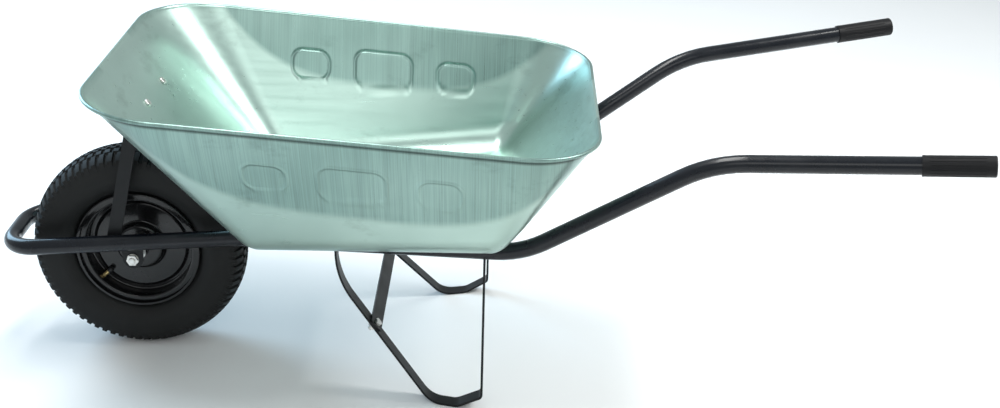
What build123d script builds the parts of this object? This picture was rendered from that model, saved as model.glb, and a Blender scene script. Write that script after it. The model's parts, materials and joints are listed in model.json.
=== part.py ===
"""Wheelbarrow with a galvanised pan, a one-piece bent tube frame and a pneumatic wheel.

Frame of the model, in millimetres: +X runs from the wheel to the handles, +Y to the side, +Z up.
The origin is on the ground, in the middle of the object's length and width.
Stations along the barrow are measured back from the wheel axle and moved by axle_x.
"""

import os
from math import atan, cos, degrees, radians, sin, sqrt, tan

from build123d import *

os.makedirs("parts", exist_ok=True)

# ---- driving dimensions -------------------------------------------------------------------
overall_length = 1704.0
front_overhang = 247.0  # from the axle forward to the outside of the tube loop
wheel_diameter = 400.0

tube_diameter = 30.0
tube_wall = 1.5
loop_half_gap = 85.0  # centre of the tube beside the wheel
handle_half_gap = 362.5  # centre of the tube at the ends of the handles
plan_bend_station = 203.0  # where the two sides start to spread
lower_bend_station = 717.0
upper_bend_station = 1024.0
tube_height_at_axle = 241.0
run_slope = 0.0802  # rise of the lower run per unit of length
upper_bend_height = 505.0
handle_end_height = 552.0
loop_bend_radius = 56.0
plan_bend_radius = 220.0
lower_bend_radius = 185.0
upper_bend_radius = 240.0

grip_length = 113.0
grip_diameter = 34.5
grip_end_wall = 4.0
grip_tip_reach = 7.5  # along the barrow, from the end of the tube to the tip of the grip
grip_flutes = 16
grip_flute_depth = 0.7
grip_flute_margin = 12.0  # plain length left at each end of the flutes
grip_flute_offset = 0.6  # centre of a flute's cutter outside the grip's surface
grip_edge_radius = 2.5

sheet = 1.2  # thickness of the pan
rim_front_station = -19.5
rim_rear_station = 841.5
rim_front_half_width = 323.5
rim_rear_half_width = 311.5
rim_height_at_axle = 579.5
rim_slope = -0.08
rim_corner_radius = 134.0
floor_front_station = 243.0
floor_rear_station = 680.0
floor_front_half_width = 197.5
floor_rear_half_width = 264.0
floor_corner_radius = 37.5
floor_edge_radius = 63.0
floor_edge_steps = 5
smallest_corner_radius = 4.0  # in the outline where the floor's rounded edge starts
wire_diameter = 4.0
wire_gap = 0.1  # between the wire and the bead rolled round it
bead_wall = 1.3
bead_overlap = 0.8  # how far the rolled bead runs into the wall of the pan

strap_width = 26.0
strap_thick = 4.0
leg_top_station = 385.0
leg_knee_height = 213.0
foot_corner_station = 560.7
heel_station = 608.0
heel_height = 26.0
leg_rear_station = 653.0
leg_radii = [130.0, 45.0, 30.0, 9.0]
leg_plane_base = 75.3  # a leg stands in a leaning plane: base + back * station + up * height
leg_plane_back = 0.237
leg_plane_up = -0.154
brace_height = 128.0
brace_corner_radius = 5.0

plate_thick = 4.0
plate_width = 38.0
stay_width = 25.0
stay_foot_station = -31.0
stay_foot_height = 248.0
stay_foot_drop = 18.0
stay_lean = 0.235  # backward lean of the stay per unit of height
stay_plate_width = 52.0
stay_plate_half_length = 72.0
stay_plate_corner_radius = 4.0
stay_plate_station = 41.0
weld_bite = 1.0  # depth of a plate's seat in the side of the tube
bracket_top = 244.0
pan_bolt_station = 47.0
pan_bolt_half_gap = 58.0

cross_bar_station = 628.0
cross_bar_width = 30.0
floor_bolt_half_gap = 90.0

axle_diameter = 12.0
axle_half_length = 82.0
hub_outer_diameter = 38.0
hub_half_length = 40.0
bearing_outer_diameter = 32.0
bearing_width = 10.0
bearing_inset = 2.0  # from the end of the hub to the bearing
bearing_pitch_radius = 11.0
race_radius = 3.0
race_shoulder = 1.5  # half of the gap between the two rings, off the pitch circle
cage_half_thick = 0.6
cage_half_width = 4.0
ball_diameter = 5.94
running = 0.03  # radial clearance of a running or sliding fit
balls_per_bearing = 8
tyre_half_width = 47.0
tyre_cavity_low = 111.0  # radius of the lowest part of the air space
side_wall_thick = 4.0
tread_thick = 10.0
shoulder_radius = 187.0
shoulder_half_width = 43.0
bead_heel = 27.8
bead_toe = 20.0
heel_chamfer = 2.5
flange_gap = 0.5  # from the edge of the rim to the tyre's wall
wall_turn_rise = 9.0  # a point of the tyre's wall, outward from the edge of the rim
wall_turn_spread = 11.0  # the same point, sideways from the bead's heel
cavity_overlap = 4.0  # how far the slot between the beads runs into the air space
tyre_belly_radius = 152.0
tread_depth = 4.5
tread_blocks = 30
tread_notch_width = 7.0
tread_notch_overhang = 8.0  # how far a notch's cutter stands out beyond the shoulder
tread_groove_offset = 16.0
tread_groove_width = 4.0
tube_skin = 1.5
bead_seat_radius = 101.5
flange_radius = 117.0
rim_sheet = 2.0
lip_half_width = 36.0  # from the middle of the wheel to the turned edge of the rim
lip_length = 5.5
seat_taper = 1.5
well_fall = 4.0
boss_foot = 2.0
boss_crown = 4.0
well_radius = 88.0
disc_offset = 6.0
boss_radius = 45.0
boss_offset = 19.0
rim_radii = [2.5, 2.5, 3.0, 4.0, 4.0, 2.5, 5.0, 5.0]
valve_angle = 221.0
valve_offset = 13.0
valve_diameter = 8.0
valve_bore = 3.0
valve_inner_radius = 78.0
valve_cap_end = 1.5
valve_cap_wall = 0.8
valve_cap_length = 9.0

spacer_radius = 8.5
cover_gap = 0.4
cover_clearance = 0.5
axle_chamfer = 1.0
m12_washer_diameter = 22.0
m12_washer_thick = 1.6
m12_across_flats = 19.0
m12_nut_height = 6.0

m8 = 8.0
m8_across_flats = 13.0
m8_head_height = 5.3
m8_nut_height = 6.5
m8_washer_diameter = 16.0
m8_washer_thick = 1.6
m8_dome_diameter = 16.0
m8_dome_height = 4.2
m8_dome_side = 0.8  # straight side below the dome
m8_pan_bolt_length = 18.0
m8_brace_bolt_length = 19.0
fit = 0.15  # clearance between a piece and the piece that it slides over or through
rest = 0.05  # clearance between two faces that rest on each other

# ---- derived sizes ------------------------------------------------------------------------
axle_x = front_overhang - overall_length / 2
axle_z = wheel_diameter / 2
tube_radius = tube_diameter / 2
handle_end_station = overall_length - front_overhang - grip_tip_reach
spread = (handle_half_gap - loop_half_gap) / (handle_end_station - plan_bend_station)
run_angle = degrees(atan(run_slope))


def place(station, y, z):
    """A point given by its distance behind the axle, its side and its height."""
    return Vector(axle_x + station, y, z)


def tube_y(station):
    """Distance of the tube's centre line from the middle of the barrow."""
    return loop_half_gap + spread * max(0.0, station - plan_bend_station)


def run_z(station):
    """Height of the tube's centre line on the lower run."""
    return tube_height_at_axle + run_slope * station


def floor_z(station):
    """Height of the underside of the pan's floor, which rests on the two tubes."""
    return run_z(station) + tube_radius / cos(radians(run_angle)) + rest


def rim_z(station):
    """Height of the pan's top edge."""
    return rim_height_at_axle + rim_slope * station


def save(builder, name):
    """Label the finished piece and write its file."""
    builder.part.label = name
    export_step(builder.part, f"parts/{name}.step")


# ---- frame tube ---------------------------------------------------------------------------
loop_station = -(front_overhang - tube_radius)


def side_points(side):
    """Corner points of the tube's centre line on one side, from the loop to the handle end."""
    return [
        place(loop_station, side * loop_half_gap, run_z(loop_station)),
        place(plan_bend_station, side * loop_half_gap, run_z(plan_bend_station)),
        place(lower_bend_station, side * tube_y(lower_bend_station), run_z(lower_bend_station)),
        place(upper_bend_station, side * tube_y(upper_bend_station), upper_bend_height),
        place(handle_end_station, side * handle_half_gap, handle_end_height),
    ]


side_radii = [upper_bend_radius, lower_bend_radius, plan_bend_radius, loop_bend_radius]

with BuildLine() as tube_line:
    FilletPolyline(
        *reversed(side_points(-1)),
        *side_points(1),
        radius=[*side_radii, *reversed(side_radii)],
    )
tube_end_plane = Plane(origin=tube_line.line @ 0, z_dir=tube_line.line % 0)

with BuildPart() as frame_tube:
    with BuildSketch(tube_end_plane):
        Circle(tube_radius)
        Circle(tube_radius - tube_wall, mode=Mode.SUBTRACT)
    sweep(path=tube_line.line)
save(frame_tube, "frame_tube")

# The same tube as a full rod, which trims the ends of the pieces welded to it.
with BuildPart() as tube_rod:
    with BuildSketch(tube_end_plane):
        Circle(tube_radius)
    sweep(path=tube_line.line)


# ---- grips --------------------------------------------------------------------------------
def grip_plane(side):
    """Plane across the end of a handle, looking out along it."""
    points = side_points(side)
    return Plane(origin=points[-1], z_dir=points[-1] - points[-2])


for side, name in ((-1, "grip_left"), (1, "grip_right")):
    end = grip_plane(side)
    sleeve = grip_length - grip_end_wall
    with BuildPart() as grip:
        with BuildSketch(end.offset(-sleeve)):
            Circle(grip_diameter / 2)
        extrude(amount=grip_length)
        fillet(grip.edges().filter_by(GeomType.CIRCLE).sort_by(SortBy.DISTANCE)[-1:], grip_edge_radius)
        with BuildSketch(end.offset(-sleeve)):
            Circle(tube_radius + fit)
        extrude(amount=sleeve + rest, mode=Mode.SUBTRACT)
        with BuildSketch(end.offset(-sleeve + grip_flute_margin)):
            with PolarLocations(grip_diameter / 2 + grip_flute_offset, grip_flutes):
                Circle(grip_flute_offset + grip_flute_depth)
        extrude(amount=sleeve - 2 * grip_flute_margin, mode=Mode.SUBTRACT)
    save(grip, name)


# ---- pan ----------------------------------------------------------------------------------
rim_angle = degrees(atan(rim_slope))
rim_middle = (rim_front_station + rim_rear_station) / 2
rim_length = (rim_rear_station - rim_front_station) / cos(radians(rim_angle))
rim_plane = Plane(
    origin=place(rim_middle, 0, rim_z(rim_middle)),
    x_dir=(cos(radians(rim_angle)), 0, sin(radians(rim_angle))),
    z_dir=(-sin(radians(rim_angle)), 0, cos(radians(rim_angle))),
)


def floor_plane(station, y=0.0):
    """Plane on the underside of the pan's floor, facing up into the pan."""
    return Plane(
        origin=place(station, y, floor_z(station)),
        x_dir=(cos(radians(run_angle)), 0, sin(radians(run_angle))),
        z_dir=(-sin(radians(run_angle)), 0, cos(radians(run_angle))),
    )


wall_angle = degrees(
    atan(
        (rim_z(rim_front_station) - floor_z(floor_front_station))
        / (floor_front_station - rim_front_station)
    )
)


def front_wall_plane(station, y=0.0):
    """Plane on the outside of the pan's front wall, facing into the pan."""
    height = rim_z(rim_front_station) - (station - rim_front_station) * sin(
        radians(wall_angle)
    ) / cos(radians(wall_angle))
    return Plane(
        origin=place(station, y, height),
        x_dir=(cos(radians(wall_angle)), 0, -sin(radians(wall_angle))),
        z_dir=(sin(radians(wall_angle)), 0, cos(radians(wall_angle))),
    )


def lean(rise, run):
    """Angle of a wall, in radians, from its rise and its run."""
    return atan(rise / run)


front_rise = rim_z(rim_front_station) - floor_z(floor_front_station)
rear_rise = rim_z(rim_rear_station) - floor_z(floor_rear_station)

# Angle of each wall from the floor: front, rear, and the side walls at their front and rear ends.
pan_angles = [
    radians(wall_angle + run_angle),
    lean(rear_rise, rim_rear_station - floor_rear_station) - radians(run_angle),
    lean(front_rise, rim_front_half_width - floor_front_half_width),
    lean(rear_rise, rim_rear_half_width - floor_rear_half_width),
]


def wall_reach(height, radius, angle):
    """How far a wall stands outside its sharp lower edge at a height, with that edge rounded."""
    if height < radius * (1 - cos(angle)):
        return sqrt(radius**2 - (radius - height) ** 2) - radius * tan(angle / 2)
    return height / tan(angle)


def pan_outline(length, half_widths, corner_radius, reaches):
    """Rounded outline across the pan, moved out at the front, the rear and each end of its sides."""
    front, rear, front_side, rear_side = reaches
    outline = Polygon(
        (-length / 2 - front, -half_widths[0] - front_side),
        (length / 2 + rear, -half_widths[1] - rear_side),
        (length / 2 + rear, half_widths[1] + rear_side),
        (-length / 2 - front, half_widths[0] + front_side),
        align=None,
    )
    fillet(outline.vertices(), max(corner_radius + min(reaches), smallest_corner_radius))


def pan_solid(inset):
    """Filled shape of the pan, with every wall moved in from the outside by the thickness given."""
    floor_middle = (floor_front_station + floor_rear_station) / 2
    floor_length = (floor_rear_station - floor_front_station) / cos(radians(run_angle))
    radius = floor_edge_radius - inset
    with BuildPart(mode=Mode.PRIVATE) as filled:
        for step in range(floor_edge_steps + 1):
            height = radius * (1 - cos(max(pan_angles) * step / floor_edge_steps))
            with BuildSketch(floor_plane(floor_middle).offset(inset + height)):
                pan_outline(
                    floor_length,
                    (floor_front_half_width, floor_rear_half_width),
                    floor_corner_radius,
                    [
                        wall_reach(height, radius, angle) - inset * tan(angle / 2)
                        for angle in pan_angles
                    ],
                )
        with BuildSketch(rim_plane):
            pan_outline(
                rim_length,
                (rim_front_half_width, rim_rear_half_width),
                rim_corner_radius,
                [-inset / sin(angle) for angle in pan_angles],
            )
        loft(ruled=True)
    return filled.part


def rim_outline(offset):
    """Closed line around the rim, outside the pan's wall by the offset given."""
    with BuildSketch(rim_plane, mode=Mode.PRIVATE) as outline:
        pan_outline(
            rim_length,
            (rim_front_half_width, rim_rear_half_width),
            rim_corner_radius,
            [offset] * 4,
        )
    return outline.sketch.face().outer_wire()


bead_inner_radius = wire_diameter / 2 + wire_gap
bead_outer_radius = bead_inner_radius + bead_wall
bead_line = rim_outline(bead_outer_radius - bead_overlap)
bead_plane = Plane(origin=bead_line @ 0, z_dir=bead_line % 0)

# One plane at each bolt that holds the pan, facing into the pan from the outside of its sheet.
pan_bolt_planes = [
    front_wall_plane(pan_bolt_station, -pan_bolt_half_gap),
    front_wall_plane(pan_bolt_station, pan_bolt_half_gap),
    floor_plane(cross_bar_station, -floor_bolt_half_gap),
    floor_plane(cross_bar_station, floor_bolt_half_gap),
]

with BuildPart() as tray:
    add(pan_solid(0))
    add(pan_solid(sheet), mode=Mode.SUBTRACT)
    with BuildSketch(bead_plane):
        Circle(bead_outer_radius)
        Circle(bead_inner_radius, mode=Mode.SUBTRACT)
    sweep(path=bead_line)
    for plane in pan_bolt_planes:
        with BuildSketch(plane.offset(-sheet)):
            Circle(m8 / 2 + fit)
        extrude(amount=4 * sheet, mode=Mode.SUBTRACT)
save(tray, "tray")

with BuildPart() as rim_wire:
    with BuildSketch(bead_plane):
        Circle(wire_diameter / 2)
    sweep(path=bead_line)
save(rim_wire, "rim_wire")


# ---- front stay ---------------------------------------------------------------------------
stay_inner = loop_half_gap - tube_radius - plate_thick + weld_bite
stay_top_plane = front_wall_plane(stay_plate_station).offset(-rest - plate_thick)

with BuildPart() as front_stay_plate:
    with BuildSketch(stay_top_plane):
        RectangleRounded(stay_plate_width, 2 * stay_plate_half_length, stay_plate_corner_radius)
    extrude(amount=plate_thick)
    for plane in pan_bolt_planes[:2]:
        with BuildSketch(plane.offset(-2 * plate_thick)):
            Circle(m8 / 2 + fit)
        extrude(amount=4 * plate_thick, mode=Mode.SUBTRACT)
save(front_stay_plate, "front_stay_plate")


def stay_centre(height):
    """Station of the middle of the stay at a height."""
    return stay_foot_station + stay_lean * (height - stay_foot_height)


for side, name in ((-1, "front_stay_left"), (1, "front_stay_right")):
    low = stay_foot_height - stay_foot_drop
    high = rim_z(rim_front_station)
    with BuildPart() as front_stay:
        with BuildSketch(Plane.XZ.offset(-side * stay_inner)):
            with BuildLine():
                Polyline(
                    (axle_x + stay_centre(low) - stay_width / 2, low),
                    (axle_x + stay_centre(low) + stay_width / 2, low),
                    (axle_x + stay_centre(high) + stay_width / 2, high),
                    (axle_x + stay_centre(high) - stay_width / 2, high),
                    close=True,
                )
            make_face()
        extrude(amount=-side * plate_thick)
        with BuildSketch(stay_top_plane):
            Rectangle(rim_length, rim_length)
        extrude(amount=rim_length / 4, mode=Mode.SUBTRACT)
        add(tube_rod.part, mode=Mode.SUBTRACT)
    save(front_stay, name)


# ---- axle brackets ------------------------------------------------------------------------
for side, name in ((-1, "axle_bracket_left"), (1, "axle_bracket_right")):
    with BuildPart() as axle_bracket:
        with BuildSketch(Plane.XZ.offset(-side * stay_inner)):
            with Locations((axle_x, axle_z)):
                Circle(plate_width / 2)
                Circle(axle_diameter / 2 + fit, mode=Mode.SUBTRACT)
            with BuildLine():
                Polyline(
                    (axle_x - plate_width / 2, axle_z),
                    (axle_x + plate_width / 2, axle_z),
                    (axle_x + plate_width / 2, bracket_top),
                    (axle_x - plate_width / 2, bracket_top),
                    close=True,
                )
            make_face()
            with Locations((axle_x, axle_z)):
                Circle(axle_diameter / 2 + fit, mode=Mode.SUBTRACT)
        extrude(amount=-side * plate_thick)
        add(tube_rod.part, mode=Mode.SUBTRACT)
    save(axle_bracket, name)


# ---- legs ---------------------------------------------------------------------------------
def leg_y(station, height):
    """Distance of a leg's middle from the middle of the barrow."""
    return leg_plane_base + leg_plane_back * station + leg_plane_up * height


half_strap = strap_thick / 2
strap_drop = (leg_knee_height - half_strap) / (foot_corner_station - leg_top_station)
strap_angle = degrees(atan(strap_drop))
leg_points = [
    (axle_x + leg_top_station, run_z(leg_top_station)),
    (axle_x + leg_top_station, leg_knee_height),
    (axle_x + foot_corner_station, half_strap),
    (axle_x + heel_station, half_strap),
    (axle_x + leg_rear_station, heel_height),
    (axle_x + leg_rear_station, run_z(leg_rear_station)),
]


def strap_station(height):
    """Station of the front strap's middle at a height, on its straight part."""
    return foot_corner_station - (height - half_strap) / strap_drop


def brace_plane(y=0.0):
    """Plane on the upper face of the front straps, where the brace lies."""
    station = strap_station(brace_height)
    middle = Plane(
        origin=place(station, y, brace_height),
        x_dir=(cos(radians(strap_angle)), 0, -sin(radians(strap_angle))),
        z_dir=(sin(radians(strap_angle)), 0, cos(radians(strap_angle))),
    )
    return middle.offset(half_strap + rest)


brace_bolt_y = leg_y(strap_station(brace_height), brace_height)
brace_bolt_planes = [brace_plane(-brace_bolt_y), brace_plane(brace_bolt_y)]

for side, name in ((-1, "leg_left"), (1, "leg_right")):
    slab_plane = Plane(
        origin=place(0, side * leg_y(0, 0), 0),
        x_dir=(1, side * leg_plane_back, 0),
        z_dir=(-leg_plane_back, side, -leg_plane_up),
    )
    with BuildPart() as leg:
        with BuildSketch(Plane.XZ):
            with BuildLine() as leg_line:
                FilletPolyline(*leg_points, radius=leg_radii)
            trace(leg_line.line, strap_thick)
        extrude(amount=-side * handle_half_gap)
        with BuildSketch(slab_plane.offset(-strap_width / 2)):
            Rectangle(2 * overall_length, 2 * overall_length)
        extrude(amount=strap_width, mode=Mode.INTERSECT)
        add(tube_rod.part, mode=Mode.SUBTRACT)
        with BuildSketch(brace_plane(side * brace_bolt_y).offset(-4 * strap_thick)):
            Circle(m8 / 2 + fit)
        extrude(amount=8 * strap_thick, mode=Mode.SUBTRACT)
    save(leg, name)

with BuildPart() as leg_brace:
    with BuildSketch(brace_plane()):
        Rectangle(strap_width, 2 * brace_bolt_y + strap_width)
        with Locations((0, -brace_bolt_y), (0, brace_bolt_y)):
            Circle(m8 / 2 + fit, mode=Mode.SUBTRACT)
    extrude(amount=strap_thick)
    fillet(leg_brace.edges().filter_by(Axis(origin=(0, 0, 0), direction=brace_plane().z_dir)), brace_corner_radius)
save(leg_brace, "leg_brace")


# ---- rear cross bar -----------------------------------------------------------------------
with BuildPart() as cross_bar:
    with BuildSketch(floor_plane(cross_bar_station).offset(-rest - plate_thick)):
        Rectangle(cross_bar_width, 2 * tube_y(cross_bar_station))
        with Locations((0, -floor_bolt_half_gap), (0, floor_bolt_half_gap)):
            Circle(m8 / 2 + fit, mode=Mode.SUBTRACT)
    extrude(amount=plate_thick)
    add(tube_rod.part, mode=Mode.SUBTRACT)
    # The slivers beyond the tubes' middles are dropped, so the bar ends on the tubes.
    for loose in cross_bar.part.solids().sort_by(SortBy.VOLUME)[:-1]:
        add(loose, mode=Mode.SUBTRACT)
save(cross_bar, "cross_bar")


# ---- fasteners ----------------------------------------------------------------------------
with BuildPart() as pan_bolts:
    for plane in pan_bolt_planes:
        seat = plane.offset(sheet + rest)
        with BuildSketch(seat):
            Circle(m8_dome_diameter / 2)
        extrude(amount=m8_dome_height)
        fillet(pan_bolts.faces().filter_by(GeomType.PLANE).sort_by_distance(
            seat.offset(m8_dome_height).origin
        )[0].edges(), m8_dome_height - m8_dome_side)
        with BuildSketch(seat):
            Circle(m8 / 2)
        extrude(amount=-m8_pan_bolt_length)
save(pan_bolts, "pan_bolts")

with BuildPart() as pan_washers:
    for plane in pan_bolt_planes:
        with BuildSketch(plane.offset(-rest - plate_thick)):
            Circle(m8_washer_diameter / 2)
            Circle(m8 / 2 + fit, mode=Mode.SUBTRACT)
        extrude(amount=-m8_washer_thick)
save(pan_washers, "pan_washers")

with BuildPart() as pan_nuts:
    for plane in pan_bolt_planes:
        with BuildSketch(plane.offset(-rest - plate_thick - m8_washer_thick)):
            RegularPolygon(m8_across_flats / 2, 6, major_radius=False)
            Circle(m8 / 2 + rest, mode=Mode.SUBTRACT)
        extrude(amount=-m8_nut_height)
save(pan_nuts, "pan_nuts")

with BuildPart() as brace_bolts:
    for plane in brace_bolt_planes:
        with BuildSketch(plane.offset(strap_thick)):
            RegularPolygon(m8_across_flats / 2, 6, major_radius=False)
        extrude(amount=m8_head_height)
        with BuildSketch(plane.offset(strap_thick)):
            Circle(m8 / 2)
        extrude(amount=-m8_brace_bolt_length)
save(brace_bolts, "brace_bolts")

with BuildPart() as brace_nuts:
    for plane in brace_bolt_planes:
        with BuildSketch(plane.offset(-rest - strap_thick)):
            RegularPolygon(m8_across_flats / 2, 6, major_radius=False)
            Circle(m8 / 2 + rest, mode=Mode.SUBTRACT)
        extrude(amount=-m8_nut_height)
save(brace_nuts, "brace_nuts")


# ---- wheel --------------------------------------------------------------------------------
wheel_plane = Plane(origin=place(0, 0, axle_z), x_dir=(1, 0, 0), z_dir=(0, 0, 1))
wheel_axis = Axis((axle_x, 0, axle_z), (0, 1, 0))
wheel_radius = wheel_diameter / 2


def wheel_side(offset):
    """Plane across the axle, its distance to the side given, facing +Y."""
    return Plane(origin=place(0, offset, axle_z), x_dir=(1, 0, 0), z_dir=(0, 1, 0))


cavity_middle = (tyre_cavity_low + wheel_radius - tread_thick) / 2
cavity_half_height = (wheel_radius - tread_thick - tyre_cavity_low) / 2

with BuildPart() as tyre:
    with BuildSketch(wheel_plane):
        with BuildLine():
            Spline(
                (flange_radius + flange_gap, bead_heel),
                (flange_radius + flange_gap + wall_turn_rise, bead_heel + wall_turn_spread),
                (tyre_belly_radius, tyre_half_width),
                (shoulder_radius, shoulder_half_width),
            )
            ThreePointArc(
                (shoulder_radius, shoulder_half_width),
                (wheel_radius, 0),
                (shoulder_radius, -shoulder_half_width),
            )
            Spline(
                (shoulder_radius, -shoulder_half_width),
                (tyre_belly_radius, -tyre_half_width),
                (flange_radius + flange_gap + wall_turn_rise, -bead_heel - wall_turn_spread),
                (flange_radius + flange_gap, -bead_heel),
            )
            Polyline(
                (flange_radius + flange_gap, -bead_heel),
                (bead_seat_radius + heel_chamfer, -bead_heel),
                (bead_seat_radius + fit, heel_chamfer - bead_heel),
                (bead_seat_radius + fit, bead_heel - heel_chamfer),
                (bead_seat_radius + heel_chamfer, bead_heel),
                (flange_radius + flange_gap, bead_heel),
            )
        make_face()
        with Locations((cavity_middle, 0)):
            Ellipse(cavity_half_height, tyre_half_width - side_wall_thick, mode=Mode.SUBTRACT)
        with Locations((bead_seat_radius, 0)):
            Rectangle(
                2 * (tyre_cavity_low + cavity_overlap - bead_seat_radius),
                2 * bead_toe,
                mode=Mode.SUBTRACT,
            )
        for groove_side in (-1, 1):
            with Locations((wheel_radius, groove_side * tread_groove_offset)):
                Rectangle(2 * tread_depth, tread_groove_width, mode=Mode.SUBTRACT)
    revolve(axis=wheel_axis)
    for row, shift in ((-1, 0.0), (0, 0.5), (1, 0.0)):
        inner = -tread_groove_offset if row == 0 else tread_groove_offset
        outer = tread_groove_offset if row == 0 else shoulder_half_width + tread_notch_overhang
        low, high = (inner, outer) if row >= 0 else (-outer, -inner)
        with BuildSketch(wheel_side(low)):
            with PolarLocations(wheel_radius, tread_blocks, start_angle=shift * 360 / tread_blocks):
                Rectangle(2 * tread_depth, tread_notch_width)
        extrude(amount=high - low, mode=Mode.SUBTRACT)
save(tyre, "tyre")

valve_plane = Plane(
    origin=place(0, -valve_offset, axle_z),
    x_dir=(0, 1, 0),
    z_dir=(cos(radians(valve_angle)), 0, sin(radians(valve_angle))),
)

with BuildPart() as inner_tube:
    with BuildSketch(wheel_plane):
        with Locations((cavity_middle, 0)):
            Ellipse(cavity_half_height - fit, tyre_half_width - side_wall_thick - fit)
            Ellipse(
                cavity_half_height - fit - tube_skin,
                tyre_half_width - side_wall_thick - fit - tube_skin,
                mode=Mode.SUBTRACT,
            )
    revolve(axis=wheel_axis)
    with BuildSketch(valve_plane):
        Circle(valve_diameter / 2)
    extrude(amount=cavity_middle, mode=Mode.SUBTRACT)
save(inner_tube, "inner_tube")

with BuildPart() as valve_stem:
    with BuildSketch(valve_plane.offset(valve_inner_radius)):
        Circle(valve_diameter / 2)
        Circle(valve_bore / 2, mode=Mode.SUBTRACT)
    extrude(amount=tyre_cavity_low + 2 * tube_skin - valve_inner_radius)
save(valve_stem, "valve_stem")

with BuildPart() as valve_cap:
    with BuildSketch(valve_plane.offset(valve_inner_radius - valve_cap_end)):
        Circle(valve_diameter / 2 + valve_cap_wall)
    extrude(amount=valve_cap_length)
    with BuildSketch(valve_plane.offset(valve_inner_radius)):
        Circle(valve_diameter / 2 + rest)
    extrude(amount=valve_cap_length, mode=Mode.SUBTRACT)
save(valve_cap, "valve_cap")

rim_half_sheet = rim_sheet / 2
rim_points = [
    (flange_radius - rim_half_sheet - lip_length, lip_half_width),
    (flange_radius - rim_half_sheet, lip_half_width),
    (flange_radius - rim_half_sheet, bead_heel + rim_half_sheet + fit),
    (bead_seat_radius - rim_half_sheet, bead_heel + rim_half_sheet + fit),
    (bead_seat_radius - rim_half_sheet - seat_taper, rim_half_sheet),
    (well_radius, rim_half_sheet),
    (well_radius - well_fall, disc_offset),
    (boss_radius + boss_foot, disc_offset),
    (boss_radius - boss_crown, boss_offset),
    (hub_outer_diameter / 2, boss_offset),
]

for side, name in ((-1, "rim_shell_left"), (1, "rim_shell_right")):
    with BuildPart() as rim_shell:
        with BuildSketch(wheel_plane):
            with BuildLine() as shell_line:
                FilletPolyline(*[(r, side * y) for r, y in rim_points], radius=rim_radii)
            trace(shell_line.line, rim_sheet)
        revolve(axis=wheel_axis)
        with BuildSketch(wheel_side(-tyre_half_width)):
            Circle(hub_outer_diameter / 2)
        extrude(amount=2 * tyre_half_width, mode=Mode.SUBTRACT)
        if side < 0:
            with BuildSketch(valve_plane.offset(well_radius)):
                Circle(valve_diameter / 2 + fit)
            extrude(amount=flange_radius - well_radius, mode=Mode.SUBTRACT)
    save(rim_shell, name)

hub_bore = bearing_outer_diameter / 2 + running
bearing_middle = hub_half_length - bearing_inset - bearing_width / 2
ball_radius = ball_diameter / 2

with BuildPart() as hub_tube:
    with BuildSketch(wheel_side(-hub_half_length)):
        Circle(hub_outer_diameter / 2)
        Circle(hub_bore, mode=Mode.SUBTRACT)
    extrude(amount=2 * hub_half_length)
save(hub_tube, "hub_tube")


def ring_section(low, high):
    """Section of both bearings between two radii, with the balls' track left out."""
    with BuildSketch(wheel_plane, mode=Mode.PRIVATE) as section:
        with Locations(
            ((low + high) / 2, -bearing_middle),
            ((low + high) / 2, bearing_middle),
        ):
            Rectangle(high - low, bearing_width)
        with Locations(
            (bearing_pitch_radius, -bearing_middle),
            (bearing_pitch_radius, bearing_middle),
        ):
            Circle(race_radius, mode=Mode.SUBTRACT)
    return section.sketch


with BuildPart() as bearing_outer_rings:
    add(ring_section(bearing_pitch_radius + race_shoulder, bearing_outer_diameter / 2))
    revolve(axis=wheel_axis)
save(bearing_outer_rings, "bearing_outer_rings")

with BuildPart() as bearing_inner_rings:
    add(ring_section(axle_diameter / 2 + running, bearing_pitch_radius - race_shoulder))
    revolve(axis=wheel_axis)
save(bearing_inner_rings, "bearing_inner_rings")

ball_planes = [wheel_side(-bearing_middle), wheel_side(bearing_middle)]

with BuildPart() as bearing_balls:
    with Locations(*ball_planes):
        with PolarLocations(bearing_pitch_radius, balls_per_bearing):
            Sphere(ball_radius)
save(bearing_balls, "bearing_balls")

with BuildPart() as bearing_cages:
    for plane in ball_planes:
        with BuildSketch(plane.offset(-cage_half_width)):
            Circle(bearing_pitch_radius + cage_half_thick)
            Circle(bearing_pitch_radius - cage_half_thick, mode=Mode.SUBTRACT)
        extrude(amount=2 * cage_half_width)
    for plane in ball_planes:
        with BuildSketch(plane.offset(-ball_radius - running)):
            with PolarLocations(bearing_pitch_radius, balls_per_bearing):
                Circle(ball_radius + running)
        extrude(amount=2 * (ball_radius + running), mode=Mode.SUBTRACT)
save(bearing_cages, "bearing_cages")

with BuildPart() as hub_covers:
    for side in (-1, 1):
        with BuildSketch(wheel_side(side * (hub_half_length - bearing_inset + cover_gap))):
            Circle(bearing_outer_diameter / 2)
            Circle(spacer_radius + cover_clearance, mode=Mode.SUBTRACT)
        extrude(amount=side * (bearing_inset - cover_gap))
save(hub_covers, "hub_covers")

bearing_outer_face = bearing_middle + bearing_width / 2
bearing_inner_face = bearing_middle - bearing_width / 2

with BuildPart() as axle_spacers:
    for low, high in (
        (-stay_inner, -bearing_outer_face),
        (-bearing_inner_face, bearing_inner_face),
        (bearing_outer_face, stay_inner),
    ):
        with BuildSketch(wheel_side(low + running)):
            Circle(spacer_radius)
            Circle(axle_diameter / 2 + running, mode=Mode.SUBTRACT)
        extrude(amount=high - low - 2 * running)
save(axle_spacers, "axle_spacers")

with BuildPart() as axle:
    with BuildSketch(wheel_side(-axle_half_length)):
        Circle(axle_diameter / 2)
    extrude(amount=2 * axle_half_length)
    chamfer(axle.edges().filter_by(GeomType.CIRCLE), axle_chamfer)
save(axle, "axle")

washer_face = stay_inner + plate_thick + running
nut_face = washer_face + m12_washer_thick + running

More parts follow.
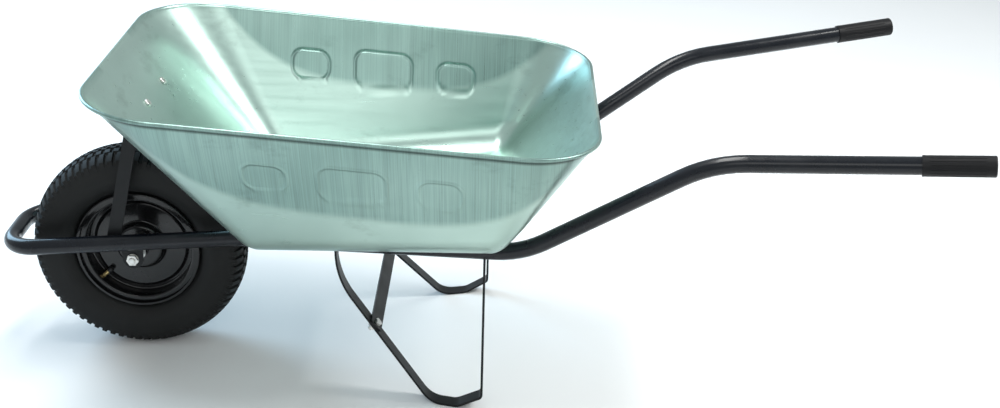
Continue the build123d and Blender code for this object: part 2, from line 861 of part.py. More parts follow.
with BuildPart() as axle_washers:
    for side in (-1, 1):
        with BuildSketch(wheel_side(side * washer_face)):
            Circle(m12_washer_diameter / 2)
            Circle(axle_diameter / 2 + running, mode=Mode.SUBTRACT)
        extrude(amount=side * m12_washer_thick)
save(axle_washers, "axle_washers")

with BuildPart() as axle_nuts:
    for side in (-1, 1):
        with BuildSketch(wheel_side(side * nut_face)):
            RegularPolygon(m12_across_flats / 2, 6, major_radius=False)
            Circle(axle_diameter / 2 + running, mode=Mode.SUBTRACT)
        extrude(amount=side * m12_nut_height)
save(axle_nuts, "axle_nuts")
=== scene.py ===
"""Looks of the wheelbarrow: pressed pan, treaded tyre, materials, studio and camera.

Everything is in metres in the frame of the CAD model: +X from the wheel to the handles, +Z up.
"""

import json
import math

import bpy
from mathutils import Matrix, Vector


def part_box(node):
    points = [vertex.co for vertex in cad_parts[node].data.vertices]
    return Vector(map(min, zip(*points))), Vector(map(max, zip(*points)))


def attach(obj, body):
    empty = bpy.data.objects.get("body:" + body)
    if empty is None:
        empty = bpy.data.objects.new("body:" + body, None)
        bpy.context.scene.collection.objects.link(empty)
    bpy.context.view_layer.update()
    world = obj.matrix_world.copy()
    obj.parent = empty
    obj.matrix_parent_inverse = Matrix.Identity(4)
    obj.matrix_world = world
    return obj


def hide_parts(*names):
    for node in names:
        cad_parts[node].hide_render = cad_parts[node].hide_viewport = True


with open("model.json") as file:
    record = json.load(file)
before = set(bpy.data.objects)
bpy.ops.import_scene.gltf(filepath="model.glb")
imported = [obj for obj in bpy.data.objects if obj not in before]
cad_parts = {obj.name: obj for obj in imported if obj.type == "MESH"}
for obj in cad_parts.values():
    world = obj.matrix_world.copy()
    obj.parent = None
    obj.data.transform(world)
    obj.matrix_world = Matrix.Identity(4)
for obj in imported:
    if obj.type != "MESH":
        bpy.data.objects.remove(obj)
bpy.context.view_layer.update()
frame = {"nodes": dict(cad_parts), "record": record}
nodes = frame["nodes"]

# ---- driving values -------------------------------------------------------------------------
MM = 0.001
axle_low, axle_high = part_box("axle")
axle = Vector(((axle_low[0] + axle_high[0]) / 2, 0, (axle_low[2] + axle_high[2]) / 2))
TUBE_RADIUS = 15 * MM

CAMERA_OFFSET = Vector((0.689, -2.441, 1.211))  # from the axle's middle
CAMERA_AZIMUTH = math.radians(0.29)
CAMERA_ELEVATION = math.radians(24.47)
CAMERA_ROLL = math.radians(1.43)
LENS, SENSOR_WIDTH = 51.73, 36

# The pan: stations are measured back from the axle, heights from the ground.
RUN_SLOPE = 0.0802  # of the tube under the floor
RUN_HEIGHT = 241 * MM  # of the tube's middle at the axle
RIM_SLOPE = -0.08
RIM_HEIGHT = 579.5 * MM
RIM_FRONT, RIM_REAR = -19.5 * MM, 841.5 * MM
RIM_HALF_WIDTHS = (323.5 * MM, 311.5 * MM)  # front, rear
RIM_CORNER = 134 * MM
FLOOR_FRONT, FLOOR_REAR = 243 * MM, 680 * MM
FLOOR_HALF_WIDTHS = (197.5 * MM, 264 * MM)  # front, rear
FLOOR_CORNER = 37.5 * MM
SMALLEST_CORNER = 4 * MM
FLOOR_EDGE = 63 * MM
SHEET = 1.2 * MM
BEAD_RADIUS = 3.4 * MM
BEAD_OFFSET = 2.6 * MM
BEAD_STEPS = 14
BEAD_START, BEAD_SWEEP = 200, 330  # degrees around the wire

# Painted shade under the bead, where the rolled edge overhangs the wall: how far below the rim,
# how far it reaches, and the least turn away from the pan's middle that counts as outside.
BEAD_SHADE_DROP, BEAD_SHADE_REACH = 7.5 * MM, 5.5 * MM
BEAD_SHADE_FACING = 0.02


# ---- node helpers ---------------------------------------------------------------------------
# A Mix node has a set of sockets for each data type, so those for colours go by number.
MIX_FACTOR, MIX_A, MIX_B, MIX_RESULT = 0, 6, 7, 2


def new_material(name):
    """A node material with its tree and shader, and a helper that adds nodes to it."""
    material = bpy.data.materials.new(name)
    material.use_nodes = True
    tree = material.node_tree
    shader = tree.nodes["Principled BSDF"]

    def add(kind, **values):
        node = tree.nodes.new(kind)
        for key, value in values.items():
            if key in node.inputs:
                node.inputs[key].default_value = value
            else:
                setattr(node, key, value)
        return node

    return material, tree, shader, add


def feed(tree, socket, value):
    """Sets a socket to a number, or links an output to it."""
    if isinstance(value, (int, float)):
        socket.default_value = value
    else:
        tree.links.new(value, socket)


def cover(tree, shader, colour, roughness, constants):
    """Links a shader's colour and roughness, and sets its other sockets."""
    tree.links.new(colour, shader.inputs["Base Color"])
    tree.links.new(roughness, shader.inputs["Roughness"])
    for name, value in constants.items():
        shader.inputs[name].default_value = value


def grey(value):
    return (value, value, value)


def lighter(colour, amount):
    return tuple(channel + amount for channel in colour)


def coordinates(add):
    """Object coordinates, which stay with the piece."""
    return add("ShaderNodeTexCoord").outputs["Object"]


def attribute(add, name, output):
    """A value that the mesh keeps at its points."""
    return add("ShaderNodeAttribute", attribute_name=name).outputs[output]


def scaled(tree, add, vector, scale):
    mapping = add("ShaderNodeMapping", Scale=scale)
    tree.links.new(vector, mapping.inputs["Vector"])
    return mapping.outputs["Vector"]


def noise(tree, add, vector, scale, detail, rough=0.55):
    node = add("ShaderNodeTexNoise", Scale=scale, Detail=detail, Roughness=rough)
    tree.links.new(vector, node.inputs["Vector"])
    return node.outputs["Fac"]


def streaks(tree, add, vector, scale, detail, rough=0.6):
    """Noise with its own scale along each axis."""
    return noise(tree, add, scaled(tree, add, vector, scale), 1.0, detail, rough)


def ramped(tree, add, value, low, high, dark, light):
    """A value turned into a colour: dark up to low, light from high on."""
    node = add("ShaderNodeValToRGB")
    for element, position, colour in zip(node.color_ramp.elements, (low, high), (dark, light)):
        element.position = position
        element.color = (*colour, 1)
    tree.links.new(value, node.inputs["Fac"])
    return node.outputs["Color"]


def mixed(tree, add, factor, a, b, blend="MIX"):
    """Mixes two colour outputs by a factor, which is an output or a number."""
    node = add("ShaderNodeMix", data_type="RGBA", blend_type=blend)
    feed(tree, node.inputs[MIX_FACTOR], factor)
    feed(tree, node.inputs[MIX_A], a)
    feed(tree, node.inputs[MIX_B], b)
    return node.outputs[MIX_RESULT]


def maths(tree, add, operation, a, b=0.0):
    node = add("ShaderNodeMath", operation=operation)
    feed(tree, node.inputs[0], a)
    feed(tree, node.inputs[1], b)
    return node.outputs[0]


def bump(tree, add, shader, height, strength, distance):
    node = add("ShaderNodeBump", Strength=strength, Distance=distance)
    tree.links.new(height, node.inputs["Height"])
    tree.links.new(node.outputs["Normal"], shader.inputs["Normal"])


# ---- materials ------------------------------------------------------------------------------
PAINT_DUST = 0.006
PAINT_UNEVEN = 0.14


def painted(name, colour, gloss, coat):
    """Black paint over steel: orange-peel bump, dusty patches and uneven gloss."""
    material, tree, shader, add = new_material(name)
    where = coordinates(add)
    cloud = noise(tree, add, where, scale=14, detail=6)
    peel = noise(tree, add, where, scale=420, detail=3)
    cover(
        tree,
        shader,
        ramped(tree, add, cloud, 0.45, 0.8, colour, lighter(colour, PAINT_DUST)),
        ramped(tree, add, cloud, 0.3, 0.75, grey(gloss), grey(gloss + PAINT_UNEVEN)),
        {
            "Specular IOR Level": 0.25,
            "Coat Weight": coat,
            "Coat IOR": 1.35,
            "Coat Roughness": 0.10,
        },
    )
    bump(tree, add, shader, peel, strength=0.08, distance=0.0003)
    return material


def painted_shade_under_bead(tree, add, place):
    """Where shade is painted: a narrow line on the outside of the walls, right under the bead."""
    parts = add("ShaderNodeSeparateXYZ")
    tree.links.new(place, parts.inputs["Vector"])
    flat = scaled(tree, add, place, (1, 1, 0))
    facing = add("ShaderNodeVectorMath", operation="DOT_PRODUCT")
    tree.links.new(add("ShaderNodeNewGeometry").outputs["Normal"], facing.inputs[0])
    tree.links.new(flat, facing.inputs[1])
    outside = maths(tree, add, "GREATER_THAN", facing.outputs["Value"], BEAD_SHADE_FACING)
    below = maths(tree, add, "SUBTRACT", parts.outputs["Z"], BEAD_SHADE_DROP)
    share = maths(tree, add, "DIVIDE", maths(tree, add, "ABSOLUTE", below), BEAD_SHADE_REACH)
    near = maths(tree, add, "MAXIMUM", maths(tree, add, "SUBTRACT", 1.0, share), 0.0)
    return maths(tree, add, "MULTIPLY", outside, near)


def galvanised():
    """Drawn zinc sheet: fine lines down the upper walls, a smoother paler part below, smudges, and
    a painted shade line under the bead.
    """
    material, tree, shader, add = new_material("galvanised_sheet")
    plain = coordinates(add)
    place = attribute(add, "wall_place", "Vector")
    drawn = attribute(add, "drawn", "Fac")
    cloud = noise(tree, add, plain, scale=4.5, detail=3, rough=0.5)
    smudge = streaks(tree, add, plain, (9, 9, 14), detail=7, rough=0.65)
    lines = streaks(tree, add, plain, (420, 0, 4), detail=3)
    bands = streaks(tree, add, plain, (42, 0, 2), detail=4)
    rolling = streaks(tree, add, plain, (3, 90, 90), detail=4)
    grain = noise(tree, add, plain, scale=330, detail=3, rough=0.6)

    low = ramped(tree, add, cloud, 0.35, 0.68, (0.38, 0.52, 0.47), (0.45, 0.60, 0.545))
    high = ramped(tree, add, cloud, 0.35, 0.68, (0.22, 0.34, 0.31), (0.285, 0.42, 0.385))
    fine = ramped(tree, add, lines, 0.36, 0.64, grey(0.80), grey(1.10))
    broad = ramped(tree, add, bands, 0.36, 0.66, grey(0.86), grey(1.06))
    high = mixed(tree, add, 0.8, high, fine, "MULTIPLY")
    high = mixed(tree, add, 0.8, high, broad, "MULTIPLY")
    colour = mixed(tree, add, drawn, low, high)
    dirt = ramped(tree, add, smudge, 0.58, 0.74, grey(1.0), (0.55, 0.57, 0.56))
    colour = mixed(tree, add, 0.6, colour, dirt, "MULTIPLY")
    # Painted shade: a narrow dark line on the outer walls right under the bead's overhang.
    bead_shade = ramped(tree, add, painted_shade_under_bead(tree, add, place), 0.05, 0.95, grey(1.0), grey(0.22))
    colour = mixed(tree, add, 1.0, colour, bead_shade, "MULTIPLY")

    smooth_gloss = ramped(tree, add, rolling, 0.3, 0.7, grey(0.27), grey(0.36))
    drawn_gloss = ramped(tree, add, lines, 0.3, 0.7, grey(0.26), grey(0.42))
    roughness = mixed(tree, add, drawn, smooth_gloss, drawn_gloss)
    cover(tree, shader, colour, roughness, {"Metallic": 0.9})
    height = mixed(tree, add, drawn, grain, lines)
    bump(tree, add, shader, height, strength=0.12, distance=0.0005)
    return material


def zinc():
    """Zinc plating on the small steel pieces: bright, lightly stained."""
    material, tree, shader, add = new_material("zinc_plate")
    where = coordinates(add)
    stain = noise(tree, add, where, scale=90, detail=5)
    pits = noise(tree, add, where, scale=900, detail=2)
    cover(
        tree,
        shader,
        ramped(tree, add, stain, 0.35, 0.7, (0.50, 0.50, 0.47), (0.74, 0.74, 0.72)),
        ramped(tree, add, stain, 0.3, 0.7, grey(0.22), grey(0.42)),
        {"Metallic": 1.0},
    )
    bump(tree, add, shader, pits, strength=0.15, distance=0.0002)
    return material


def rubber(name, colour, rough_low, rough_high, dust):
    """Black rubber with a dusty bloom, fine pores and uneven sheen."""
    material, tree, shader, add = new_material(name)
    where = coordinates(add)
    cloud = noise(tree, add, where, scale=11, detail=7, rough=0.62)
    pores = noise(tree, add, where, scale=700, detail=3)
    cover(
        tree,
        shader,
        ramped(tree, add, cloud, 0.42, 0.78, colour, lighter(colour, dust)),
        ramped(tree, add, cloud, 0.3, 0.7, grey(rough_low), grey(rough_high)),
        {"Specular IOR Level": 0.22},
    )
    bump(tree, add, shader, pores, strength=0.25, distance=0.0003)
    return material


def brass():
    """Brass of the valve, tarnished in patches."""
    material, tree, shader, add = new_material("brass_tarnished")
    tarnish = noise(tree, add, coordinates(add), scale=200, detail=5)
    cover(
        tree,
        shader,
        ramped(tree, add, tarnish, 0.3, 0.7, (0.42, 0.30, 0.12), (0.72, 0.56, 0.27)),
        ramped(tree, add, tarnish, 0.3, 0.7, grey(0.25), grey(0.5)),
        {"Metallic": 1.0},
    )
    return material


MATERIALS = {
    "tube_paint": painted("gloss_black_paint", (0.003, 0.0045, 0.008), 0.22, coat=0.4),
    "strap_paint": painted("satin_black_paint", (0.004, 0.005, 0.006), 0.40, coat=0.05),
    "rim_paint": painted("rim_black_paint", (0.004, 0.004, 0.0045), 0.18, coat=0.7),
    "galvanised": galvanised(),
    "zinc": zinc(),
    "bearing_steel": zinc(),
    "tyre": rubber("tyre_rubber", (0.0055, 0.006, 0.006), 0.45, 0.70, 0.008),
    "tube_rubber": rubber("inner_tube_rubber", (0.02, 0.02, 0.02), 0.5, 0.7, 0.02),
    "grip": rubber("grip_rubber", (0.005, 0.005, 0.006), 0.38, 0.6, 0.006),
    "black_plastic": rubber("cap_plastic", (0.012, 0.012, 0.013), 0.35, 0.5, 0.01),
    "brass": brass(),
}
node_slots = {part["node"]: part["material_slot"] for part in frame["record"]["subparts"]}
for node_name, node_object in nodes.items():
    node_object.data.materials.clear()
    node_object.data.materials.append(MATERIALS[node_slots[node_name]])


# ---- mesh helpers ---------------------------------------------------------------------------
def make_piece(name, mesh, slot, body, *replaced):
    """Wraps a mesh as a piece that takes a slot's finish, rides a body and stands for CAD nodes."""
    piece = bpy.data.objects.new(name, mesh)
    bpy.context.scene.collection.objects.link(piece)
    mesh.materials.append(MATERIALS[slot])
    for polygon in mesh.polygons:
        polygon.use_smooth = True
    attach(piece, body)
    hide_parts(*replaced)
    return piece


def mesh_of(name, points, faces):
    mesh = bpy.data.meshes.new(name)
    mesh.from_pydata([tuple(p) for p in points], [], faces)
    mesh.validate()
    mesh.update()
    return mesh


def grid_faces(rows, columns, closed_rows=False, first=0):
    """Quads between rings of points, each with the same number of columns, facing outwards."""
    faces = []
    for row in range(rows if closed_rows else rows - 1):
        below = first + row * columns
        above = first + ((row + 1) % rows) * columns
        for column in range(columns):
            right = (column + 1) % columns
            faces.append((above + column, above + right, below + right, below + column))
    return faces


# ---- pan ------------------------------------------------------------------------------------
def floor_height(station):
    return RUN_HEIGHT + RUN_SLOPE * station + TUBE_RADIUS * math.hypot(1, RUN_SLOPE)


def rim_height(station):
    return RIM_HEIGHT + RIM_SLOPE * station


FRONT_RISE = rim_height(RIM_FRONT) - floor_height(FLOOR_FRONT)
REAR_RISE = rim_height(RIM_REAR) - floor_height(FLOOR_REAR)
RUN_ANGLE = math.atan(RUN_SLOPE)
PAN_ANGLES = (  # of the walls to the floor: front, rear, side at its front and at its rear
    math.atan(FRONT_RISE / (FLOOR_FRONT - RIM_FRONT)) + RUN_ANGLE,
    math.atan(REAR_RISE / (RIM_REAR - FLOOR_REAR)) - RUN_ANGLE,
    math.atan(FRONT_RISE / (RIM_HALF_WIDTHS[0] - FLOOR_HALF_WIDTHS[0])),
    math.atan(REAR_RISE / (RIM_HALF_WIDTHS[1] - FLOOR_HALF_WIDTHS[1])),
)
# Points along each side wall, along each end wall and around each corner of an outline.
SIDE_STEPS, END_STEPS, CORNER_STEPS = 320, 64, 22


def rounded_outline(front, rear, half_widths, radius):
    """Points around a rounded trapezoid in its own plane, the same number on every outline."""
    corners = [
        Vector((front, -half_widths[0])),
        Vector((rear, -half_widths[1])),
        Vector((rear, half_widths[1])),
        Vector((front, half_widths[0])),
    ]
    points = []
    for index, corner in enumerate(corners):
        before = (corners[index - 1] - corner).normalized()
        after = (corners[(index + 1) % 4] - corner).normalized()
        half = before.angle(after) / 2
        middle = corner + (before + after).normalized() * radius / math.sin(half)
        start = corner + before * radius / math.tan(half) - middle
        sweep = math.pi - 2 * half
        for step in range(CORNER_STEPS):
            turn = sweep * step / CORNER_STEPS
            points.append(middle + Matrix.Rotation(turn, 2) @ start)
        leave = corner + after * radius / math.tan(half)
        following = corners[(index + 1) % 4]
        beyond = (corners[(index + 2) % 4] - following).normalized()
        next_half = (-after).angle(beyond) / 2
        arrive = following - after * radius / math.tan(next_half)
        steps = SIDE_STEPS if index in (0, 2) else END_STEPS
        for step in range(steps):
            points.append(leave.lerp(arrive, step / steps))
    return points


def wall_reach(height, radius, angle):
    """How far a wall stands outside its sharp lower edge at a height, with that edge rounded."""
    if height < radius * (1 - math.cos(angle)):
        return math.sqrt(radius**2 - (radius - height) ** 2) - radius * math.tan(angle / 2)
    return height / math.tan(angle)


FLOOR_LENGTH = (FLOOR_REAR - FLOOR_FRONT) / math.cos(RUN_ANGLE)
FLOOR_MIDDLE = (FLOOR_FRONT + FLOOR_REAR) / 2


def floor_section(height, inset):
    """Outline of the pan at a height above its floor, in the frame of the model."""
    radius = FLOOR_EDGE - inset
    front, rear, front_side, rear_side = (
        wall_reach(height, radius, angle) - inset * math.tan(angle / 2) for angle in PAN_ANGLES
    )
    flat = rounded_outline(
        -FLOOR_LENGTH / 2 - front,
        FLOOR_LENGTH / 2 + rear,
        (FLOOR_HALF_WIDTHS[0] + front_side, FLOOR_HALF_WIDTHS[1] + rear_side),
        max(FLOOR_CORNER + min(front, rear, front_side, rear_side), SMALLEST_CORNER),
    )
    lift = height + inset
    base = Vector((axle.x + FLOOR_MIDDLE, 0, floor_height(FLOOR_MIDDLE)))
    along = Vector((math.cos(RUN_ANGLE), 0, math.sin(RUN_ANGLE)))
    up = Vector((-math.sin(RUN_ANGLE), 0, math.cos(RUN_ANGLE)))
    return [base + along * p.x + Vector((0, p.y, 0)) + up * lift for p in flat]


def rim_section(inset):
    """Outline of the pan at its rim."""
    angle = math.atan(RIM_SLOPE)
    length = (RIM_REAR - RIM_FRONT) / math.cos(angle)
    front, rear, front_side, rear_side = (-inset / math.sin(a) for a in PAN_ANGLES)
    flat = rounded_outline(
        -length / 2 - front,
        length / 2 + rear,
        (RIM_HALF_WIDTHS[0] + front_side, RIM_HALF_WIDTHS[1] + rear_side),
        RIM_CORNER + min(front, rear, front_side, rear_side),
    )
    middle = (RIM_FRONT + RIM_REAR) / 2
    base = Vector((axle.x + middle, 0, rim_height(middle)))
    along = Vector((math.cos(angle), 0, math.sin(angle)))
    return [base + along * p.x + Vector((0, p.y, 0)) for p in flat]


EDGE_ROWS = 14  # around the floor's rounded edge
FLOOR_ROWS = 9  # across the flat of the floor

# Rows of points up a wall: how many reach up to each share of its height.
WALL_BANDS = ((14, 0.48), (76, 0.88), (8, 1.0))
WALL_ROWS = sum(count for count, top in WALL_BANDS)

# Plain pressed outlines on the side walls: (station, half length, half height).
MARKS = (
    (290 * MM, 37 * MM, 27 * MM),
    (435 * MM, 57 * MM, 35 * MM),
    (580 * MM, 37 * MM, 27 * MM),
)
MARK_DROP = 90 * MM  # from the rim down to the middle of an outline
MARK_CORNER = 22 * MM
MARK_WIDTH = 3.4 * MM
MARK_DEPTH = 1.6 * MM
MARK_LEAN = -0.35  # of the pressing's direction, down for each unit outwards

# The drawn part of each side wall, by the sign of its Y, ends at a sagging line: (middle
# station, half length, drop from the rim).
DRAWN = {-1: (435 * MM, 390 * MM, 160 * MM), 1: (440 * MM, 325 * MM, 117 * MM)}
DRAWN_BEND = 3.2  # how square the line's ends are
DRAWN_BLUR = 7 * MM


def wall_shares():
    """Share of the wall's height at each row of points above its rounded lower edge."""
    shares, low = [], 0.0
    for count, top in WALL_BANDS:
        shares += [low + (top - low) * (step + 1) / count for step in range(count)]
        low = top
    return shares


def mark_depth(station, drop):
    """Depth of the pressed outlines at a place on a side wall."""
    depth = 0.0
    for centre, half_length, half_height in MARKS:
        across = abs(station - centre) - half_length + MARK_CORNER
        up = abs(drop - MARK_DROP) - half_height + MARK_CORNER
        outside = math.hypot(max(across, 0), max(up, 0)) + min(max(across, up), 0)
        distance = outside - MARK_CORNER
        depth = max(depth, MARK_DEPTH * math.exp(-2 * (distance / MARK_WIDTH) ** 2))
    return depth


def pan_surface(inset):
    """Rows of points from the middle of the floor up to the rim."""
    top = FLOOR_EDGE * (1 - math.cos(max(PAN_ANGLES)))
    edge = [
        floor_section(top * (1 - math.cos(math.pi / 2 * row / EDGE_ROWS)), inset)
        for row in range(EDGE_ROWS + 1)
    ]
    centre = sum(edge[0], Vector()) / len(edge[0])
    rows = [
        [centre.lerp(p, (row + 1) / (FLOOR_ROWS + 1)) for p in edge[0]] for row in range(FLOOR_ROWS)
    ]
    rows += edge
    low, high = edge[-1], rim_section(inset)
    for share in wall_shares():
        rows.append([a.lerp(b, share) for a, b in zip(low, high)])
    return centre, rows


def press_marks(rows):
    """Presses the plain outlines outwards into both side walls."""
    for row in rows[-WALL_ROWS:]:
        for index, p in enumerate(row):
            if abs(p.y) > FLOOR_HALF_WIDTHS[0]:
                station = p.x - axle.x
                depth = mark_depth(station, rim_height(station) - p.z)
                row[index] = p + Vector((0, math.copysign(1, p.y), MARK_LEAN)).normalized() * depth


def store_places(mesh, rows):
    """Keeps, at each point, where its column meets the rim, how far below the rim it is, and
    whether it lies in the drawn part of a side wall."""
    rim = rows[-1]
    places = [0.0, 0.0, 0.0]
    drawn = [0.0]
    points = iter(mesh.vertices[1:])
    for _ in range(len(rows) + BEAD_STEPS):
        for edge in rim:
            p = next(points).co
            station = p.x - axle.x
            drop = rim_height(station) - p.z
            places += [edge.x, edge.y, drop]
            middle, half_length, sag = DRAWN[int(math.copysign(1, p.y))]
            reach = abs(station - middle) / half_length
            line = sag * (1 - min(reach, 1) ** DRAWN_BEND)
            blend = 0.5 + (line - drop) / DRAWN_BLUR / 2
            drawn.append(min(max(blend, 0), 1) if abs(p.y) > FLOOR_HALF_WIDTHS[0] / 2 else 0.0)
    mesh.attributes.new("wall_place", "FLOAT_VECTOR", "POINT").data.foreach_set("vector", places)
    mesh.attributes.new("drawn", "FLOAT", "POINT").data.foreach_set("value", drawn)


def build_pan():
    """The pressed pan as one sheet with a rolled bead around its rim."""
    centre, rows = pan_surface(SHEET)
    press_marks(rows)
    count = len(rows[0])
    points = [centre] + [p for row in rows for p in row]
    faces = [(0, 1 + (i + 1) % count, 1 + i) for i in range(count)]
    faces += grid_faces(len(rows), count, first=1)

    # The bead starts at the wall's top edge and rolls outwards and down around the wire.
    rim = rows[-1]
    for step in range(1, BEAD_STEPS + 1):
        turn = math.radians(BEAD_START - BEAD_SWEEP * step / BEAD_STEPS)
        ring_start = len(points)
        previous = ring_start - count
        for index, p in enumerate(rim):
            ahead, behind = rim[(index + 1) % count], rim[index - 1]
            tangent = (ahead - behind).normalized()
            outward = tangent.cross(Vector((0, 0, 1))).normalized()
            up = outward.cross(tangent).normalized()
            if up.z < 0:
                up = -up
            middle = p + outward * (BEAD_OFFSET + SHEET)
            points.append(
                middle + outward * math.cos(turn) * BEAD_RADIUS + up * math.sin(turn) * BEAD_RADIUS
            )
        for i in range(count):
            j = (i + 1) % count
            faces.append((previous + i, ring_start + i, ring_start + j, previous + j))
    mesh = mesh_of("pan", points, faces)
    store_places(mesh, rows)
    pan = make_piece("pan_sheet", mesh, "galvanised", "frame", "tray", "rim_wire")
    thick = pan.modifiers.new("thickness", "SOLIDIFY")
    thick.thickness = SHEET
    thick.offset = -1


build_pan()


# ---- tyre -----------------------------------------------------------------------------------
TREAD_PITCHES = 72
STEPS_PER_PITCH = 12
TREAD_DEPTH = 4.5 * MM
GROOVE_SHARE = 0.8  # of the tread's depth, in the grooves between the rows of blocks
# Rows of blocks from the middle out: (start, end, shift in pitches, share of a pitch cut away).
TREAD_ROWS = (
    (0 * MM, 7.5 * MM, 0.0, 0.28),
    (10 * MM, 21 * MM, 0.5, 0.28),
    (24 * MM, 62 * MM, 0.0, 0.36),
)
LUG_FADE = (50 * MM, 62 * MM)  # the lugs run out down the side wall between these
NO_TREAD = 1.0  # a distance beyond the tread, for the points inside the tyre
# The crown is an arc: radius at its middle, half width, radius at the shoulder.
CROWN = (200 * MM, 43 * MM, 187 * MM)
CROWN_STEPS = 40
# The section goes on down the side wall and around the bead, in mm: (radius, half width).
SIDE_WALL = (
    (187, 43), (180, 45.3), (172, 46.6), (163, 47), (152, 47), (143, 46.2), (134, 43.6),
    (127, 39.4), (121, 34), (117.5, 27.8),
)
TYRE_INSIDE = ((103.9, 27.8), (101.65, 25.3), (101.65, 20.5), (112, 20.5), (118, 30), (130, 38.5))
# The air space is part of an ellipse, in mm: middle radius, half height, half width.
CAVITY = (150.5, 39.5, 43.0)
CAVITY_ANGLES = range(115, 0, -12)  # degrees from the crown
SIDE_FINE_ABOVE = 150 * MM  # radius above which the side wall has twice as many rows
SHARP_ANGLE = math.radians(38)


def tyre_half_outline():
    """Points down one side of the tyre with their distance from the middle of the tread."""
    radius, half, shoulder = CROWN
    sagitta = radius - shoulder
    curve = (half**2 + sagitta**2) / (2 * sagitta)
    outline = []
    for step in range(CROWN_STEPS):
        y = half * step / CROWN_STEPS
        outline.append((radius - curve + math.sqrt(curve**2 - y**2), y))
    side = [(r * MM, y * MM) for r, y in SIDE_WALL]
    for (r0, y0), (r1, y1) in zip(side, side[1:]):
        steps = 4 if r0 > SIDE_FINE_ABOVE else 2
        outline += [
            (r0 + (r1 - r0) * k / steps, y0 + (y1 - y0) * k / steps) for k in range(steps)
        ]
    return outline + [side[-1]]


def block_depth(distance, turn):
    """How far the surface lies below the blocks' tops, at a distance from the middle."""
    if distance > LUG_FADE[1]:
        return 0.0
    fade = 1 - max(0.0, (distance - LUG_FADE[0]) / (LUG_FADE[1] - LUG_FADE[0]))
    for start, end, shift, cut in TREAD_ROWS:
        if start <= distance <= end:
            phase = (turn + shift) % 1.0
            return TREAD_DEPTH * fade if phase < cut else 0.0
    return TREAD_DEPTH * GROOVE_SHARE


def build_tyre():
    """Closed tyre: treaded outside, beads, and the air space inside."""
    half = tyre_half_outline()
    distances, run = [0.0], 0.0
    for a, b in zip(half, half[1:]):
        run += math.hypot(b[0] - a[0], b[1] - a[1])
        distances.append(run)
    ring = [(r, y, d) for (r, y), d in zip(half, distances)]
    inner = [(r * MM, y * MM, NO_TREAD) for r, y in TYRE_INSIDE]
    middle, half_height, half_width = (v * MM for v in CAVITY)
    inner += [
        (middle + half_height * math.cos(t), half_width * math.sin(t), NO_TREAD)
        for t in map(math.radians, CAVITY_ANGLES)
    ]
    right = ring + inner
    crown_inside = (middle + half_height, 0.0, NO_TREAD)
    profile = right + [crown_inside] + [(r, -y, d) for r, y, d in reversed(right[1:])]
    columns = TREAD_PITCHES * STEPS_PER_PITCH
    centre = Vector((axle.x, 0, axle.z))
    points = []
    for r, y, distance in profile:
        for column in range(columns):
            turn = column / STEPS_PER_PITCH + (0.5 if y < 0 else 0.0)
            radius = r - block_depth(distance, turn)
            angle = 2 * math.pi * column / columns
            points.append(centre + Vector((radius * math.cos(angle), y, radius * math.sin(angle))))
    faces = grid_faces(len(profile), columns, closed_rows=True)
    mesh = mesh_of("tyre_with_lugs", points, faces)
    make_piece("tyre_with_lugs", mesh, "tyre", "wheel", "tyre")
    mesh.set_sharp_from_angle(angle=SHARP_ANGLE)


build_tyre()


# ---- floor, light and camera ------------------------------------------------------------------
FLOOR_HALF = 9  # half of the floor's side
SURROUND, SURROUND_STRENGTH = (0.92, 0.98, 1.0), 0.55
WHITE, BLUE = (1.0, 1.0, 0.98), (0.50, 0.77, 1.0)
# Area lights: name, place, aim, width, height, power, colour.
LIGHTS = (
    ("front_box", (0.2, -3.3, 2.4), (0.0, 0.0, 0.4), 3.0, 1.3, 24, WHITE),
    ("overhead", (-0.4, 0.25, 2.9), (-0.2, 0.2, 0.3), 2.2, 0.6, 54, WHITE),
    ("side_box", (1.9, 0.0, 2.4), (-0.3, 0.1, 0.4), 0.6, 1.2, 46, WHITE),
    ("blue_box", (-2.6, 1.7, 1.7), (0.2, 0.0, 0.4), 1.5, 1.9, 70, BLUE),
)


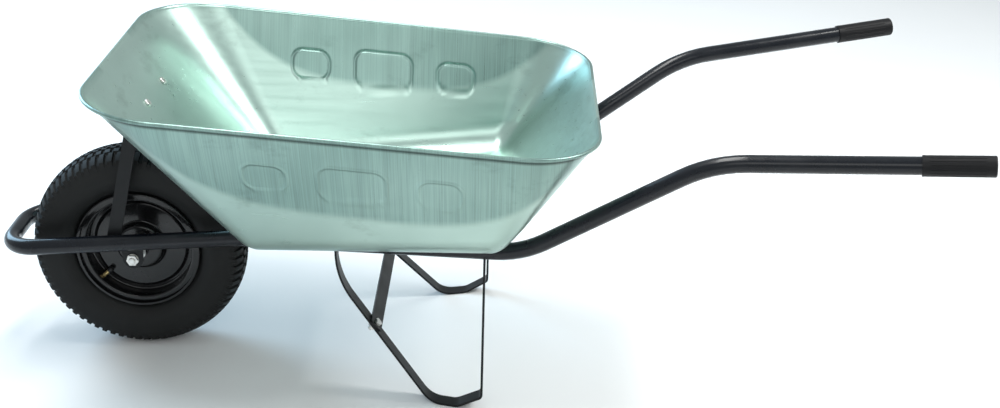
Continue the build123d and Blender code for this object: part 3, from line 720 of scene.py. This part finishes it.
def studio():
    """Pale flat floor, large soft lights and a pale surround."""
    corners = [(x * FLOOR_HALF, y * FLOOR_HALF, 0) for x, y in ((-1, -1), (1, -1), (1, 1), (-1, 1))]
    floor_mesh = mesh_of("studio_floor", corners, [(0, 1, 2, 3)])
    floor = bpy.data.objects.new("studio_floor", floor_mesh)
    bpy.context.scene.collection.objects.link(floor)
    material, tree, shader, add = new_material("studio_floor")
    cloud = noise(tree, add, coordinates(add), scale=2, detail=4)
    tone = ramped(tree, add, cloud, 0.3, 0.7, grey(0.88), grey(0.90))
    tree.links.new(tone, shader.inputs["Base Color"])
    shader.inputs["Roughness"].default_value = 0.9
    floor_mesh.materials.append(material)

    world = bpy.data.worlds.new("studio")
    world.use_nodes = True
    background = world.node_tree.nodes["Background"]
    background.inputs["Color"].default_value = (*SURROUND, 1)
    background.inputs["Strength"].default_value = SURROUND_STRENGTH
    bpy.context.scene.world = world

    for name, place, aim, width, height, power, colour in LIGHTS:
        light = bpy.data.lights.new(name, "AREA")
        light.shape = "RECTANGLE"
        light.size, light.size_y = width, height
        light.energy = power
        light.color = colour
        lamp = bpy.data.objects.new(name, light)
        lamp.location = place
        lamp.rotation_euler = (Vector(aim) - Vector(place)).to_track_quat("-Z", "Y").to_euler()
        bpy.context.scene.collection.objects.link(lamp)


def add_camera():
    """Camera beside the barrow, turned and tilted by its angles."""
    sin, cos = math.sin, math.cos
    azimuth, elevation, roll = CAMERA_AZIMUTH, CAMERA_ELEVATION, CAMERA_ROLL
    ahead = Vector((-sin(azimuth) * cos(elevation), cos(azimuth) * cos(elevation), -sin(elevation)))
    level = Vector((cos(azimuth), sin(azimuth), 0))
    over = level.cross(ahead)
    right = cos(roll) * level + sin(roll) * over
    up = -sin(roll) * level + cos(roll) * over
    data = bpy.data.cameras.new("camera")
    data.lens = LENS
    data.sensor_width = SENSOR_WIDTH
    camera = bpy.data.objects.new("camera", data)
    turn = Matrix((right, up, -ahead)).transposed().to_4x4()
    camera.matrix_world = Matrix.Translation(axle + CAMERA_OFFSET) @ turn
    bpy.context.scene.collection.objects.link(camera)
    bpy.context.scene.camera = camera


studio()
add_camera()
bpy.context.scene.view_settings.view_transform = "Standard"
